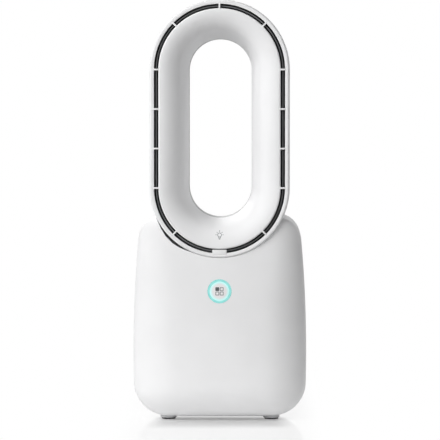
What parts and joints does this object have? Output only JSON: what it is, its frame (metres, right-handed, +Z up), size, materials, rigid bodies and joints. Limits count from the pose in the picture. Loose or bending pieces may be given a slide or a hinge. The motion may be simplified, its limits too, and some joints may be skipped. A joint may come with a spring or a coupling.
{
  "type": "bladeless fan",
  "caption": "Desk fan with an upright oval air loop nested in a rounded base, a touch key and a blower inside.",
  "frame": {"origin": "on the desk surface, under the middle of the base", "axes": "+X to the right seen from the front, +Y to the back, +Z up; the air blows along -Y"},
  "size_m": [0.1452, 0.104, 0.35],
  "materials": {
    "white_shell": "satin moulded plastic",
    "dark_guide": "dark matt moulded plastic",
    "light_ring": "clear diffuser lit from behind",
    "light_bar": "diffuser",
    "rubber": "matt",
    "steel": "bright zinc plated",
    "board": "coated circuit board",
    "inner_plastic": "moulded plastic",
    "battery": "shrink sleeve",
    "filter": "open foam"
  },
  "bodies": {
    "base": {"loop_rear_shell": "white_shell", "loop_front_flare": "white_shell", "air_guide": "dark_guide", "light_bars": "light_bar", "loop_screws": "steel", "base_front_shell": "white_shell", "base_rear_shell": "white_shell", "joint_screws": "steel", "bottom_hatch": "white_shell", "hatch_screws": "steel", "rubber_feet": "rubber", "light_ring": "light_ring", "touch_key": "white_shell", "key_board": "board", "blower_duct": "inner_plastic", "duct_neck": "inner_plastic", "battery_cradle": "inner_plastic", "battery_pack": "battery", "blower_isolators": "rubber", "control_board": "board", "charging_inlet": "steel", "motor_can": "steel"},
    "rotor": {"impeller": "inner_plastic", "motor_shaft": "steel", "shaft_nut": "steel"},
    "back_cover": {"intake_cover": "white_shell", "intake_filter": "filter"}
  },
  "joints": [
    {"name": "impeller_spin", "type": "hinge", "parent": "base", "child": "rotor", "pos_m": [0, -0.004, 0.06], "axis": [0, 0, 1], "continuous": true},
    {"name": "intake_cover_pull", "type": "slide", "parent": "base", "child": "back_cover", "axis": [0, 1, 0], "range_m": [0, 0.04]}
  ]
}
